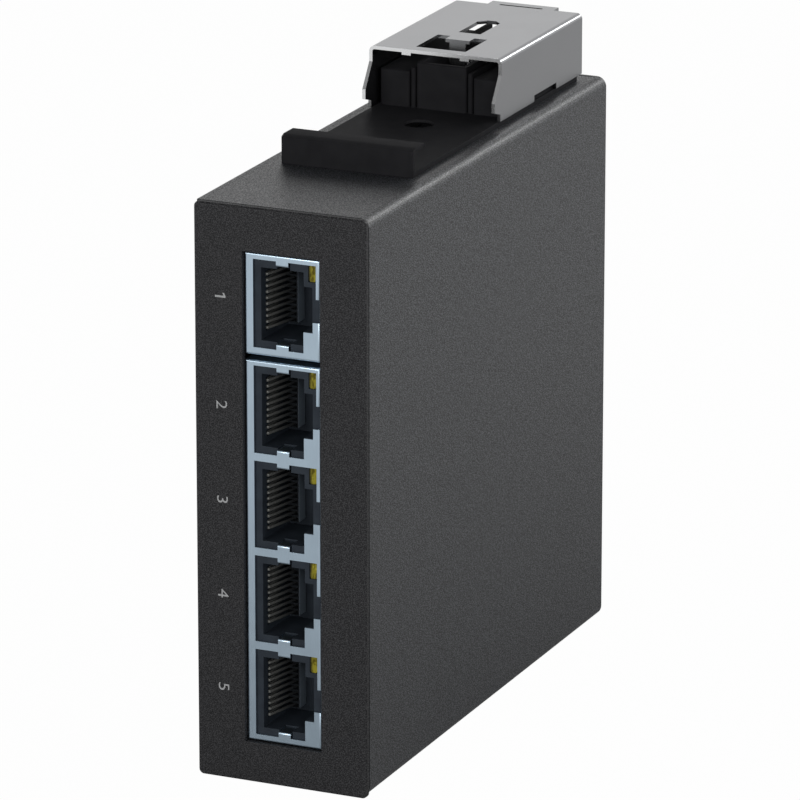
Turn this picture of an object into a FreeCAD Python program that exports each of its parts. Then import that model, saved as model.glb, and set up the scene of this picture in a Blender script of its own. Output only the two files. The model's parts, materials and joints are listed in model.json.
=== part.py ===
import FreeCAD, Part

import math
import os
import re

import Sketcher

# A five-port network switch in a slim sheet-steel case, with a spring clip for a 35 mm rail.
# Millimetres. X is the width, Y runs back from the sockets, Z is up.
# The origin is the middle of the face that the case stands on.

SIZES = {
    # folded case
    "housing_width": 31.0,
    "housing_depth": 103.5,
    "housing_height": 100.0,
    "sheet": 1.0,
    "bend_radius": 1.8,
    "rear_edge": 0.3,
    "seam": 0.25,
    "panel_sheet": 1.2,
    "panel_corner": 0.9,
    "panel_edge": 0.3,
    "flange_depth": 8.0,
    "flange_inset": 9.0,
    "tab_length": 9.0,
    "tab_height": 9.0,
    "cover_screw_inset": 5.4,
    "screw_radius": 1.5,
    "screw_play": 0.15,
    "flat_head_radius": 2.5,
    "flat_head_height": 0.95,
    "cover_screw_length": 5.0,
    # network sockets
    "jack_offset": 0.235,
    "jack_width": 13.73,
    "jack_height": 17.55,
    "jack_depth": 21.0,
    "jack_recess": 0.6,
    "window_play": 0.15,
    "port_drop": 16.52,
    "port_pitch": 16.47,
    "foot_room": 5.0,
    "gang_margin": 0.37,
    "gang_gap": 0.85,
    "shield_sheet": 0.3,
    "shield_corner": 0.5,
    "tongue_bend": 0.4,
    "shield_play": 0.05,
    "insert_recess": 0.2,
    "opening_left": 5.27,
    "opening_right": 3.8,
    "opening_up": 7.7,
    "opening_down": 7.4,
    "step_right": 5.47,
    "step_half": 3.8,
    "latch_half": 2.0,
    "strip_width": 0.8,
    "tongue_width": 2.2,
    "tongue_drop": 0.95,
    "tongue_length": 2.6,
    "mouth_left": 4.03,
    "mouth_right": 3.62,
    "mouth_half": 6.23,
    "mouth_depth": 10.6,
    "channel_right": 5.17,
    "channel_half": 3.8,
    "light_left": 4.54,
    "light_right": 5.97,
    "light_low": 4.78,
    "light_high": 7.66,
    "light_length": 14.0,
    "light_play": 0.08,
    "contact_count": 10,
    "contact_pitch": 1.02,
    "contact_width": 0.46,
    "contact_sheet": 0.3,
    "contact_start": 2.2,
    "contact_rise": 2.3,
    "comb_depth": 2.6,
    "comb_rise": 3.0,
    # circuit board
    "board_sheet": 1.6,
    "board_gap": 0.1,
    "board_inset": 3.0,
    "board_front": 2.2,
    "board_rear": 4.5,
    "board_hole_inset": 5.0,
    "board_hole_rear": 7.0,
    "standoff_radius": 2.75,
    "pan_head_radius": 2.75,
    "pan_head_height": 1.9,
    "chip_side": 14.0,
    "chip_height": 1.2,
    "module_length": 15.0,
    "module_width": 9.5,
    "module_height": 4.0,
    "module_gap": 3.0,
    "crystal_length": 11.0,
    "crystal_width": 4.6,
    "crystal_height": 3.5,
    "can_radius": 3.15,
    "can_height": 7.0,
    "can_pitch": 9.0,
    "choke_side": 7.3,
    "choke_height": 4.0,
    "regulator_side": 5.0,
    "regulator_height": 1.6,
    # power terminal
    "pole_count": 3,
    "pole_pitch": 5.08,
    "header_height": 11.6,
    "header_length": 12.0,
    "header_wall": 1.1,
    "header_end": 0.9,
    "header_proud": 0.6,
    "pin_side": 1.0,
    "plug_play": 0.15,
    "plug_proud": 7.4,
    "plug_floor": 1.0,
    "wire_hole": 2.9,
    "clamp_side": 3.8,
    "clamp_sheet": 0.5,
    "clamp_length": 5.0,
    "clamp_screw_radius": 1.45,
    "light_pipe_radius": 1.5,
    "light_pipe_drop": 28.0,
    "light_pipe_proud": 0.8,
    "earth_height": 22.0,
    "earth_head_radius": 3.4,
    "earth_head_height": 2.4,
    "earth_screw_radius": 1.95,
    "earth_screw_length": 7.0,
    # rail clip
    "clip_offset": -0.2,
    "clip_width": 24.1,
    "clip_front": 27.1,
    "clip_rear": 98.5,
    "clip_plate": 0.95,
    "hook_height": 5.0,
    "hook_wall": 1.05,
    "hook_reach": 4.85,
    "hook_sheet": 0.6,
    "hook_slope": 1.15,
    "hook_drop": 0.45,
    "hook_corner": 0.4,
    "block_front": 66.5,
    "block_rear": 98.0,
    "side_block_top": 7.3,
    "side_block_gap": 0.3,
    "rib_top": 8.0,
    "rib_width": 0.85,
    "rib_gap": 0.25,
    "ridge_top": 9.0,
    "ridge_width": 9.3,
    "ridge_wall": 0.8,
    "trough_front": 1.0,
    "trough_floor": 2.0,
    "groove_depth": 0.45,
    "groove_low": 3.0,
    "groove_height": 1.6,
    "stop_wall": 1.3,
    "stop_back": 82.75,
    "plate_screw": 57.1,
    "trough_screw": 89.0,
    "sink_radius": 2.65,
    "sink_depth": 0.75,
    "clip_head_radius": 2.35,
    "clip_head_height": 0.35,
    "clip_screw_length": 4.4,
    "nut_radius": 3.0,
    "nut_height": 2.4,
    # sprung steel cover of the clip
    "cover_sheet": 0.6,
    "cover_bend": 1.0,
    "cover_width": 24.75,
    "cover_top": 11.88,
    "cover_foot": 1.05,
    "cover_front": 63.95,
    "cover_rear": 99.9,
    "nose_reach": 2.95,
    "nose_shoulder": 9.1,
    "nose_knee": 4.75,
    "nose_tip": 3.05,
    "notch_back": 0.45,
    "notch_top": 2.3,
    "side_notch_front": 78.4,
    "side_notch_rear": 88.25,
    "side_notch_top": 2.15,
    "window_front": 66.3,
    "window_rear": 75.7,
    "window_width": 9.25,
    "tab_width": 4.5,
    "tab_front": 73.55,
    "tongue_neck": 3.0,
    "tongue_foot": 3.3,
    "tongue_ear": 1.15,
    "slot_front": 78.75,
    "slot_rear": 88.5,
    "slot_width": 4.1,
    "slot_corner": 1.15,
    "pull_width": 12.55,
    "pull_offset": 0.65,
    "pull_reach": 2.3,
    "pull_slot_width": 8.1,
    "pull_slot_length": 0.6,
    "front_lug_pitch": 10.85,
    "front_lug_width": 1.7,
    "front_lug_drop": 0.45,
    # latch spring
    "spring_radius": 2.2,
    "spring_wire": 0.5,
    "spring_turns": 3,
    "spring_level": 5.6,
    "spring_play": 0.3,
}

# Places that follow from the sizes, written once and used by name below.
PLACES = {
    "front": "-housing_depth / 2",
    "rear": "housing_depth / 2",
    "left": "-housing_width / 2",
    "right": "housing_width / 2",
    "shell_front": "front + panel_sheet + seam",
    "inner_right": "right - sheet",
    "inner_left": "left + sheet",
    "inner_top": "housing_height - sheet",
    "inner_rear": "rear - sheet",
    "middle_height": "housing_height / 2",
    "jack_left": "jack_offset - jack_width / 2",
    "jack_right": "jack_offset + jack_width / 2",
    "jack_front": "front + jack_recess",
    "jack_rear": "jack_front + jack_depth",
    "insert_front": "jack_front + shield_sheet + insert_recess",
    "first_port": "housing_height - port_drop",
    "single_low": "first_port - jack_height / 2",
    "gang_ports": "floor((gang_high - 2 * gang_margin - foot_room) / port_pitch)",
    "gang_high": "single_low - gang_gap",
    "gang_height": "gang_ports * port_pitch + 2 * gang_margin",
    "gang_low": "gang_high - gang_height",
    "gang_first": "gang_high - gang_margin - port_pitch / 2",
    "mouth_rear": "insert_front + mouth_depth",
    "contact_front": "insert_front + contact_start",
    "board_left": "jack_right + board_gap",
    "board_right": "board_left + board_sheet",
    "board_low": "board_inset",
    "board_high": "housing_height - board_inset",
    "board_near": "front + board_front",
    "board_far": "rear - board_rear",
    "modules_near": "jack_rear + module_gap",
    "choke_near": "board_far - 4 * choke_side",
    "chip_near": "(modules_near + module_width + choke_near - chip_side) / 2",
    "power_height": "middle_height",
    "light_pipe_height": "housing_height - light_pipe_drop",
    "header_low": "power_height - header_width / 2",
    "header_width": "(pole_count - 1) * pole_pitch + 2 * pole_edge",
    "pole_edge": "pole_pitch / 2 + header_end",
    "header_left": "board_left - header_height",
    "header_front": "rear + header_proud - header_length",
    "header_rear": "rear + header_proud",
    "header_floor": "header_front + header_wall",
    "plug_left": "header_left + header_wall + plug_play",
    "plug_right": "board_left - header_wall - plug_play",
    "plug_front": "header_floor + plug_floor",
    "plug_rear": "header_rear + plug_proud",
    "plug_low": "header_low + header_end + plug_play",
    "plug_width": "header_width - 2 * header_end - 2 * plug_play",
    "pole_low": "power_height - (pole_count - 1) * pole_pitch / 2",
    "pole_middle": "(plug_left + plug_right) / 2",
    "clamp_front": "plug_rear - plug_proud + 0.9",
    "clip_base": "housing_height",
    "clip_left": "clip_offset - clip_width / 2",
    "plate_top": "housing_height + clip_plate",
    "clip_near": "front + clip_front",
    "clip_far": "front + clip_rear",
    "block_near": "front + block_front",
    "block_far": "front + block_rear",
    "ridge_half": "ridge_width / 2",
    "rib_inner": "ridge_half + rib_gap",
    "rib_outer": "rib_inner + rib_width",
    "block_inner": "rib_outer + rib_gap",
    "block_outer": "cover_width / 2 - cover_sheet - side_block_gap",
    "trough_half": "ridge_half - ridge_wall",
    "cover_half": "cover_width / 2",
    "cover_ceiling": "housing_height + cover_top - cover_sheet",
    "cover_roof": "housing_height + cover_top",
    "cover_near": "front + cover_front",
    "cover_far": "front + cover_rear",
    "tongue_near": "front + tab_front",
    "tongue_far": "tongue_near + cover_sheet",
    "stop_near": "front + stop_back",
    "spring_near": "tongue_far + spring_play",
    "spring_far": "stop_near - spring_play",
}

doc = FreeCAD.newDocument("rail_switch")

sheet = doc.addObject("Spreadsheet::Sheet", "Sizes")
for row, (alias, value) in enumerate(SIZES.items(), start=1):
    sheet.set(f"A{row}", alias.replace("_", " "))
    sheet.set(f"B{row}", str(value))
    sheet.setAlias(f"B{row}", alias)
doc.recompute()

nodes = []


def full(text):
    """Write an expression out in terms of the sheet's cells."""

    def swap(match):
        word = match.group(0)
        if word in PLACES:
            return "(" + full(PLACES[word]) + ")"
        if word in SIZES:
            return "Sizes." + word
        return word

    return re.sub(r"[a-z_][a-z_0-9]*", swap, str(text))


def number(text):
    """The present value of an expression."""
    return float(sheet.evalExpression(full(text)))


def bind(thing, **texts):
    """Tie properties to the sheet: double underscores stand for dots."""
    for name, text in texts.items():
        thing.setExpression(name.replace("__", "."), full(text))


def place(thing, x, y, z):
    """Put an object's own origin at a place worked out from the sheet."""
    bind(thing, Placement__Base__x=x, Placement__Base__y=y, Placement__Base__z=z)


def keep(label, thing):
    """Mark an object as one of the pieces that are written out."""
    thing.Label = label
    nodes.append(thing)
    return thing


# Primitives and booleans

def box(name, x, y, z, length, width, height):
    solid = doc.addObject("Part::Box", name)
    bind(solid, Length=length, Width=width, Height=height)
    place(solid, x, y, z)
    return solid


TURNS = {
    "X": FreeCAD.Rotation(FreeCAD.Vector(0, 1, 0), 90),
    "Y": FreeCAD.Rotation(FreeCAD.Vector(1, 0, 0), -90),
    "Z": FreeCAD.Rotation(),
}


def rod(name, axis, x, y, z, radius, length):
    """A cylinder that starts at a place and runs along +X, +Y or +Z."""
    solid = doc.addObject("Part::Cylinder", name)
    solid.Placement.Rotation = TURNS[axis]
    bind(solid, Radius=radius, Height=length)
    place(solid, x, y, z)
    return solid


def prism(name, axis, x, y, z, radius, length, sides=6):
    """A bar with flat sides that starts at a place and runs along an axis."""
    solid = doc.addObject("Part::Prism", name)
    solid.Polygon = sides
    solid.Placement.Rotation = TURNS[axis]
    bind(solid, Circumradius=radius, Height=length)
    place(solid, x, y, z)
    return solid


def hidden_rod(name, axis, x, y, z, radius, length):
    """A screw's shank or its bore: nothing shows of it, so twelve sides are enough."""
    return prism(name, axis, x, y, z, radius, length, sides=12)


def cone(name, axis, x, y, z, radius, far_radius, length):
    solid = doc.addObject("Part::Cone", name)
    solid.Placement.Rotation = TURNS[axis]
    bind(solid, Radius1=radius, Radius2=far_radius, Height=length)
    place(solid, x, y, z)
    return solid


def cut(name, base, *tools):
    for index, tool in enumerate(tools):
        result = doc.addObject("Part::Cut", name if index == len(tools) - 1 else f"{name}_step")
        result.Base = base
        result.Tool = tool
        base = result
    return base


def fuse(name, *solids):
    result = doc.addObject("Part::MultiFuse", name)
    result.Shapes = list(solids)
    result.Refine = True
    return result


def group(name, solids):
    """Like pieces that stay separate solids in one object."""
    result = doc.addObject("Part::Compound", name)
    result.Links = list(solids)
    return result


# Bodies, sketches and features

def new_body(name):
    body = doc.addObject("PartDesign::Body", name)
    body.AllowCompound = True
    return body


PLANES = {"X": "YZ_Plane", "Y": "XZ_Plane", "Z": "XY_Plane"}


def sketch(body, name, axis, start, loops):
    """A sketch across an axis: loops are lists of points, or circles as (a, b, radius)."""
    result = body.newObject("Sketcher::SketchObject", name)
    plane = [f for f in body.Origin.OriginFeatures if f.Role == PLANES[axis]][0]
    result.AttachmentSupport = [(plane, "")]
    result.MapMode = "FlatFace"
    bind(result, AttachmentOffset__Base__z=f"-({start})" if axis == "Y" else start)
    for loop in loops:
        if isinstance(loop, tuple):
            add_circle(result, *loop)
        else:
            add_outline(result, loop)
    return result


def pin(result, geometry, vertex, a, b):
    for kind, text in (("DistanceX", a), ("DistanceY", b)):
        index = result.addConstraint(Sketcher.Constraint(kind, -1, 1, geometry, vertex, number(text)))
        result.setExpression(f"Constraints[{index}]", full(text))


def add_circle(result, a, b, radius):
    centre = FreeCAD.Vector(number(a), number(b), 0)
    normal = FreeCAD.Vector(0, 0, 1)
    geometry = result.addGeometry(Part.Circle(centre, normal, number(radius)), False)
    pin(result, geometry, 3, a, b)
    index = result.addConstraint(Sketcher.Constraint("Radius", geometry, number(radius)))
    result.setExpression(f"Constraints[{index}]", full(radius))


def add_outline(result, points):
    corners = [FreeCAD.Vector(number(a), number(b), 0) for a, b in points]
    lines = []
    for index, corner in enumerate(corners):
        line = Part.LineSegment(corner, corners[(index + 1) % len(corners)])
        lines.append(result.addGeometry(line, False))
    for index, line in enumerate(lines):
        following = lines[(index + 1) % len(lines)]
        result.addConstraint(Sketcher.Constraint("Coincident", line, 2, following, 1))
    for line, (a, b) in zip(lines, points):
        pin(result, line, 1, a, b)


def rectangle(a, b, width, height):
    """Four corners from one corner and two lengths."""
    far_a = f"{a} + ({width})"
    far_b = f"{b} + ({height})"
    return [(a, b), (far_a, b), (far_a, far_b), (a, far_b)]


def hidden_hole(a, b, radius):
    """The outline of a hole that a screw covers, with the sides of a hidden rod."""
    corners = []
    for step in range(12):
        angle = math.radians(30 * step)
        corners.append((f"{a} + ({radius}) * {math.cos(angle):.5f}",
                        f"{b} + ({radius}) * {math.sin(angle):.5f}"))
    return corners


def pad(body, name, axis, start, length, *loops):
    """Add material from a start towards the positive axis."""
    result = body.newObject("PartDesign::Pad", name)
    result.Profile = sketch(body, f"{name}_sketch", axis, start, loops)
    result.Reversed = axis == "Y"
    bind(result, Length=length)
    doc.recompute()
    return result


def pocket(body, name, axis, start, length, *loops):
    """Take material away from a start towards the positive axis."""
    before = body.Shape.Volume
    result = body.newObject("PartDesign::Pocket", name)
    result.Profile = sketch(body, f"{name}_sketch", axis, start, loops)
    result.Reversed = axis != "Y"
    bind(result, Length=length)
    doc.recompute()
    if not body.Shape.Volume < before:
        raise ValueError(f"{name} takes nothing away")
    return result


def edges_where(body, test):
    """Names of the body's present edges whose middle and direction pass a test."""
    names = []
    for index, edge in enumerate(body.Shape.Edges, start=1):
        middle = edge.CenterOfMass
        span = edge.BoundBox
        lengths = {"X": span.XLength, "Y": span.YLength, "Z": span.ZLength}
        along = max(lengths, key=lengths.get)
        if test(middle, along, lengths[along]):
            names.append(f"Edge{index}")
    return names


def soften(body, kind, name, size, test):
    """A fillet or chamfer on the edges that pass a test."""
    base = body.Tip
    names = edges_where(body, test)
    if not names:
        raise ValueError(f"{name} finds no edge")
    result = body.newObject(f"PartDesign::{kind}", name)
    result.Base = (base, names)
    bind(result, **{"Radius" if kind == "Fillet" else "Size": size})
    doc.recompute()
    return result


def near(value, text, slack=0.01):
    return abs(value - number(text)) < slack


# Case: a folded tray, the panel with the sockets, and the flat cover

def main_shell():
    body = new_body("shell_body")
    depth = "rear - (shell_front)"
    pad(body, "blank", "Z", "0", "housing_height",
        rectangle("left", "shell_front", "housing_width", depth))

    def bend(middle, along, length):
        return near(middle.x, "right") and along == "Y"

    def rear_corner(middle, along, length):
        return near(middle.x, "right") and near(middle.y, "rear") and along == "Z"

    soften(body, "Fillet", "bends", "bend_radius", bend)
    soften(body, "Chamfer", "rear_edges", "rear_edge", rear_corner)
    pocket(body, "inside", "X", "left - sheet", "housing_width",
           rectangle("shell_front - sheet", "sheet", "inner_rear - shell_front + sheet",
                     "housing_height - 2 * sheet"))

    def inner_bend(middle, along, length):
        return near(middle.x, "inner_right") and along == "Y"

    soften(body, "Fillet", "inner_bends", "bend_radius - sheet", inner_bend)
    seam_length = "housing_width - bend_radius"
    pocket(body, "seams", "X", "left - sheet", f"sheet + {seam_length}",
           rectangle("inner_rear - seam", "inner_top - sheet / 2", "seam", "2 * sheet"),
           rectangle("inner_rear - seam", "-sheet / 2", "seam", "2 * sheet"))
    pocket(body, "cover_seat", "X", "left - sheet", "2 * sheet",
           rectangle("shell_front - sheet", "-sheet", f"{depth} + 2 * sheet",
                     "housing_height + 2 * sheet"))
    for name, low in (("lower_tab", "cover_screw_inset - tab_height / 2"),
                      ("upper_tab", "housing_height - cover_screw_inset - tab_height / 2")):
        pad(body, name, "X", "inner_left", "sheet",
            rectangle("inner_rear - tab_length", low, "tab_length", "tab_height"))
    pocket(body, "tab_holes", "X", "inner_left - sheet", "3 * sheet",
           hidden_hole("rear - cover_screw_inset - sheet", "cover_screw_inset", "screw_radius"),
           hidden_hole("rear - cover_screw_inset - sheet",
                       "housing_height - cover_screw_inset", "screw_radius"))
    pocket(body, "rear_openings", "Y", "inner_rear - sheet", "3 * sheet",
           rectangle("header_left - seam", "header_low - seam",
                     "header_height + 2 * seam", "header_width + 2 * seam"),
           ("light_pipe_x", "light_pipe_height", "light_pipe_radius"),
           ("pole_middle", "earth_height", "earth_screw_radius"))
    pocket(body, "clip_holes", "Z", "inner_top - sheet", "3 * sheet",
           hidden_hole("clip_offset", "front + plate_screw", "screw_radius + screw_play"),
           hidden_hole("clip_offset", "front + trough_screw", "screw_radius + screw_play"))
    return keep("main_shell", body)


PLACES["light_pipe_x"] = "pole_middle"


def front_panel():
    body = new_body("panel_body")
    pad(body, "plate", "Y", "front", "panel_sheet",
        rectangle("left", "0", "housing_width", "housing_height"))

    def corner(middle, along, length):
        return along == "Y"

    soften(body, "Fillet", "corners", "panel_corner", corner)

    def face_edge(middle, along, length):
        return near(middle.y, "front")

    soften(body, "Chamfer", "edges", "panel_edge", face_edge)
    pad(body, "left_flange", "X", "inner_left", "sheet",
        rectangle("front + panel_sheet / 2", "flange_inset / 3", "flange_depth",
                  "housing_height - 2 * flange_inset / 3"))
    for name, low in (("lower_hook", "flange_inset"),
                      ("upper_hook", "housing_height - 2 * flange_inset")):
        pad(body, name, "X", "inner_right - sheet", "sheet",
            rectangle("front + panel_sheet / 2", low, "flange_depth", "flange_inset"))
    pocket(body, "flange_holes", "X", "inner_left - sheet", "3 * sheet",
           hidden_hole("front + cover_screw_inset", "cover_screw_inset", "screw_radius"),
           hidden_hole("front + cover_screw_inset", "housing_height - cover_screw_inset",
                       "screw_radius"))
    pocket(body, "socket_window", "Y", "front - sheet", "2 * sheet + panel_sheet",
           rectangle("jack_left - window_play", "gang_low - window_play",
                     "jack_width + 2 * window_play",
                     "single_low + jack_height - gang_low + 2 * window_play"))
    return keep("front_panel", body)


def left_cover():
    body = new_body("cover_body")
    pad(body, "plate", "X", "left", "sheet",
        rectangle("shell_front", "0", "rear - (shell_front)", "housing_height"))
    pocket(body, "screw_holes", "X", "left - sheet", "3 * sheet",
           *((y, z, "screw_radius + screw_play") for y, z in cover_screw_places))

    def hole_rim(middle, along, length):
        on_face = near(middle.x, "left")
        return on_face and length < number("3 * flat_head_radius")

    soften(body, "Chamfer", "countersinks",
           "flat_head_radius - screw_radius - screw_play", hole_rim)
    return keep("left_cover", body)


cover_screw_places = [
    ("front + cover_screw_inset", "cover_screw_inset"),
    ("front + cover_screw_inset", "housing_height - cover_screw_inset"),
    ("rear - cover_screw_inset - sheet", "cover_screw_inset"),
    ("rear - cover_screw_inset - sheet", "housing_height - cover_screw_inset"),
]


def cross_slot(name, axis, x, y, z, reach, width, depth):
    """Two crossed bars that cut a screwdriver recess, sunk along an axis."""
    half, arm = f"({width}) / 2", f"({reach})"
    if axis == "X":
        return [box(name, x, f"{y} - {arm}", f"{z} - {half}", depth, f"2 * {arm}", width),
                box(name, x, f"{y} - {half}", f"{z} - {arm}", depth, width, f"2 * {arm}")]
    if axis == "Y":
        return [box(name, f"{x} - {arm}", y, f"{z} - {half}", f"2 * {arm}", depth, width),
                box(name, f"{x} - {half}", y, f"{z} - {arm}", width, depth, f"2 * {arm}")]
    return [box(name, f"{x} - {arm}", f"{y} - {half}", z, f"2 * {arm}", width, depth),
            box(name, f"{x} - {half}", f"{y} - {arm}", z, width, f"2 * {arm}", depth)]


def cover_screws():
    """Countersunk screws that close the case."""
    screws = []
    for y, z in cover_screw_places:
        head = cone("screw_head", "X", "left", y, z, "flat_head_radius - screw_play",
                    "screw_radius - screw_play", "flat_head_height")
        stem = hidden_rod("screw_shank", "X", "left", y, z, "screw_radius - screw_play",
                          "cover_screw_length")
        recess = cross_slot("screw_recess", "X", "left - seam", y, z,
                            "0.5 * flat_head_radius", "seam * 2", "sheet * 0.8")
        screws.append(cut("cover_screw", fuse("screw_blank", head, stem), *recess))
    return keep("cover_screws", group("cover_screw_set", screws))


# Network sockets

def port_heights():
    """Heights of the ports in the gang, from the top down."""
    count = int(number("gang_ports"))
    return [f"gang_first - {index} * port_pitch" for index in range(count)]


def shield_outline(middle):
    """The stepped mouth in the face of a metal shield, open at its latch side."""
    edge = "jack_right + shield_sheet"
    strip = "jack_right - strip_width"
    return [
        ("jack_offset - opening_left", f"{middle} - opening_down"),
        ("jack_offset + opening_right", f"{middle} - opening_down"),
        ("jack_offset + opening_right", f"{middle} - step_half"),
        ("jack_offset + step_right", f"{middle} - step_half"),
        ("jack_offset + step_right", f"{middle} - latch_half"),
        (edge, f"{middle} - latch_half"),
        (edge, f"{middle} + latch_half"),
        (strip, f"{middle} + latch_half"),
        (strip, f"{middle} + opening_up"),
        ("jack_offset - opening_left", f"{middle} + opening_up"),
    ]


def jack_shield(label, low, height, middles):
    """A folded metal shield round one socket or a row of them."""
    body = new_body(f"{label}_body")
    pad(body, "block", "Y", "jack_front", "jack_depth",
        rectangle("jack_left", low, "jack_width", height))

    def front_edge(middle, along, length):
        return near(middle.y, "jack_front") and along in "XZ"

    soften(body, "Fillet", "rolled_edges", "shield_corner", front_edge)
    pocket(body, "inside", "Y", "jack_front + shield_sheet", "jack_depth",
           rectangle("jack_left + shield_sheet", f"{low} + shield_sheet",
                     "jack_width - 2 * shield_sheet", f"{height} - 2 * shield_sheet"))
    pocket(body, "mouths", "Y", "jack_front - shield_sheet", "2.5 * shield_sheet",
           *(shield_outline(middle) for middle in middles))
    for middle in middles:
        for side, edge in (("", "opening_up"), ("-", "opening_down")):
            root = f"{middle} + ({side}{edge})" if side else f"{middle} + {edge}"
            low_edge = f"{root} - tongue_drop" if not side else root
            pad(body, "tongue", "Y", "jack_front", "shield_sheet",
                rectangle("jack_offset - tongue_width / 2", low_edge, "tongue_width",
                          "tongue_drop"))
            tip = f"{low_edge} + (tongue_drop - shield_sheet)" if side else low_edge
            pad(body, "tongue_spring", "Y", "jack_front + shield_sheet / 2", "tongue_length",
                rectangle("jack_offset - tongue_width / 2", tip, "tongue_width", "shield_sheet"))

    def tongue_bend(middle, along, length):
        in_line = near(middle.x, "jack_offset") and near(length, "tongue_width")
        return in_line and near(middle.y, "jack_front") and along == "X"

    soften(body, "Fillet", "tongue_bends", "tongue_bend", tongue_bend)
    return keep(label, body)


def mouth_outline(middle):
    """The plug's room with the narrower channel for its latch."""
    return [
        ("jack_offset - mouth_left", f"{middle} - mouth_half"),
        ("jack_offset + mouth_right", f"{middle} - mouth_half"),
        ("jack_offset + mouth_right", f"{middle} - channel_half"),
        ("jack_offset + channel_right", f"{middle} - channel_half"),
        ("jack_offset + channel_right", f"{middle} + channel_half"),
        ("jack_offset + mouth_right", f"{middle} + channel_half"),
        ("jack_offset + mouth_right", f"{middle} + mouth_half"),
        ("jack_offset - mouth_left", f"{middle} + mouth_half"),
    ]


def jack_housing(label, low, height, middles):
    """The moulded insert that a plug slides into."""
    body = new_body(f"{label}_body")
    edge = "shield_sheet + shield_play"
    pad(body, "block", "Y", "insert_front", "jack_rear - (insert_front)",
        rectangle(f"jack_left + {edge}", f"{low} + {edge}", f"jack_width - 2 * ({edge})",
                  f"{height} - 2 * ({edge})"))
    pocket(body, "mouths", "Y", "insert_front - sheet", "mouth_depth + sheet",
           *(mouth_outline(middle) for middle in middles))
    contact_half = "(contact_count * contact_pitch / 2)"
    pocket(body, "contact_bays", "Y", "contact_front - contact_sheet - shield_play",
           "jack_rear - contact_front + 1",
           *(rectangle("jack_offset - mouth_left - contact_sheet - shield_play",
                       f"{middle} - {contact_half}",
                       "2 * contact_sheet + shield_play", f"2 * {contact_half}")
             for middle in middles))
    pocket(body, "comb_bays", "Y", "mouth_rear - comb_depth", "comb_depth + sheet",
           *(rectangle("jack_offset - mouth_left - contact_sheet - shield_play",
                       f"{middle} - {contact_half}",
                       "comb_rise + contact_sheet + shield_play", f"2 * {contact_half}")
             for middle in middles))
    pocket(body, "light_bays", "Y", "insert_front - sheet", "light_length + 2 * sheet",
           *(rectangle("jack_offset + light_left - light_play",
                       f"{middle} + light_low - light_play",
                       "light_right - light_left + 2 * light_play",
                       "light_high - light_low + 2 * light_play")
             for middle in middles))
    tongue = "tongue_width + 4 * shield_play"
    notch = "mouth_half - shield_play"
    pocket(body, "tongue_notches", "Y", "insert_front - sheet", "tongue_length + sheet",
           *(rectangle(f"jack_offset - ({tongue}) / 2", f"{middle} {start}", tongue, length)
             for middle in middles
             for start, length in ((f"+ {notch}", "opening_up - mouth_half + 3 * shield_play"),
                                   ("- opening_down - 2 * shield_play",
                                    "opening_down - mouth_half + 3 * shield_play"))))
    return keep(label, body)


def contact_row(name, middle):
    """The sprung wires of one port, bent round at the mouth and slanting to the comb."""
    body = new_body(name)
    wall = "jack_offset - mouth_left"
    outline = [
        (f"{wall} - contact_sheet", "jack_rear"),
        (f"{wall} - contact_sheet", "contact_front - contact_sheet / 2"),
        (f"{wall}", "contact_front - contact_sheet"),
        (f"{wall} + contact_rise", "mouth_rear - contact_sheet"),
        (f"{wall} + contact_rise - contact_sheet", "mouth_rear - contact_sheet"),
        (f"{wall}", "contact_front + contact_sheet"),
        (f"{wall}", "jack_rear"),
    ]
    first = f"{middle} - (contact_count - 1) * contact_pitch / 2 - contact_width / 2"
    wire = pad(body, "wire", "Z", first, "contact_width", outline)
    row = body.newObject("PartDesign::LinearPattern", "row")
    row.Originals = [wire]
    upright = [f for f in body.Origin.OriginFeatures if f.Role == "Z_Axis"][0]
    row.Direction = (upright, [""])
    row.Occurrences = int(SIZES["contact_count"])
    bind(row, Length="(contact_count - 1) * contact_pitch")
    body.Tip = row
    doc.recompute()
    return body


def contact_comb(name, middle):
    """The rear carrier, with a slot for each wire's free end."""
    body = new_body(name)
    half = "contact_count * contact_pitch / 2 - shield_play"
    pad(body, "block", "Y", "mouth_rear - comb_depth + shield_play", "comb_depth - shield_play",
        rectangle("jack_offset - mouth_left + contact_sheet + shield_play",
                  f"{middle} - ({half})",
                  "comb_rise - contact_sheet - 2 * shield_play", f"2 * ({half})"))
    slots = []
    for index in range(int(SIZES["contact_count"])):
        centre = f"{middle} + ({index} - (contact_count - 1) / 2) * contact_pitch"
        slots.append(rectangle("jack_offset - mouth_left", f"{centre} - contact_pitch / 3",
                               "comb_rise - contact_sheet - shield_play",
                               "2 * contact_pitch / 3"))
    pocket(body, "slots", "Y", "mouth_rear - comb_depth", "comb_depth - 2 * shield_play", *slots)
    return body


def port_light(name, middle):
    """A link light behind the corner of the mouth."""
    body = new_body(name)
    pad(body, "rod", "Y", "insert_front - shield_play", "light_length",
        rectangle("jack_offset + light_left", f"{middle} + light_low",
                  "light_right - light_left", "light_high - light_low"))

    def long_edge(middle_point, along, length):
        return along == "Y"

    soften(body, "Chamfer", "corners", "light_play * 4", long_edge)
    return body


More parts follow.
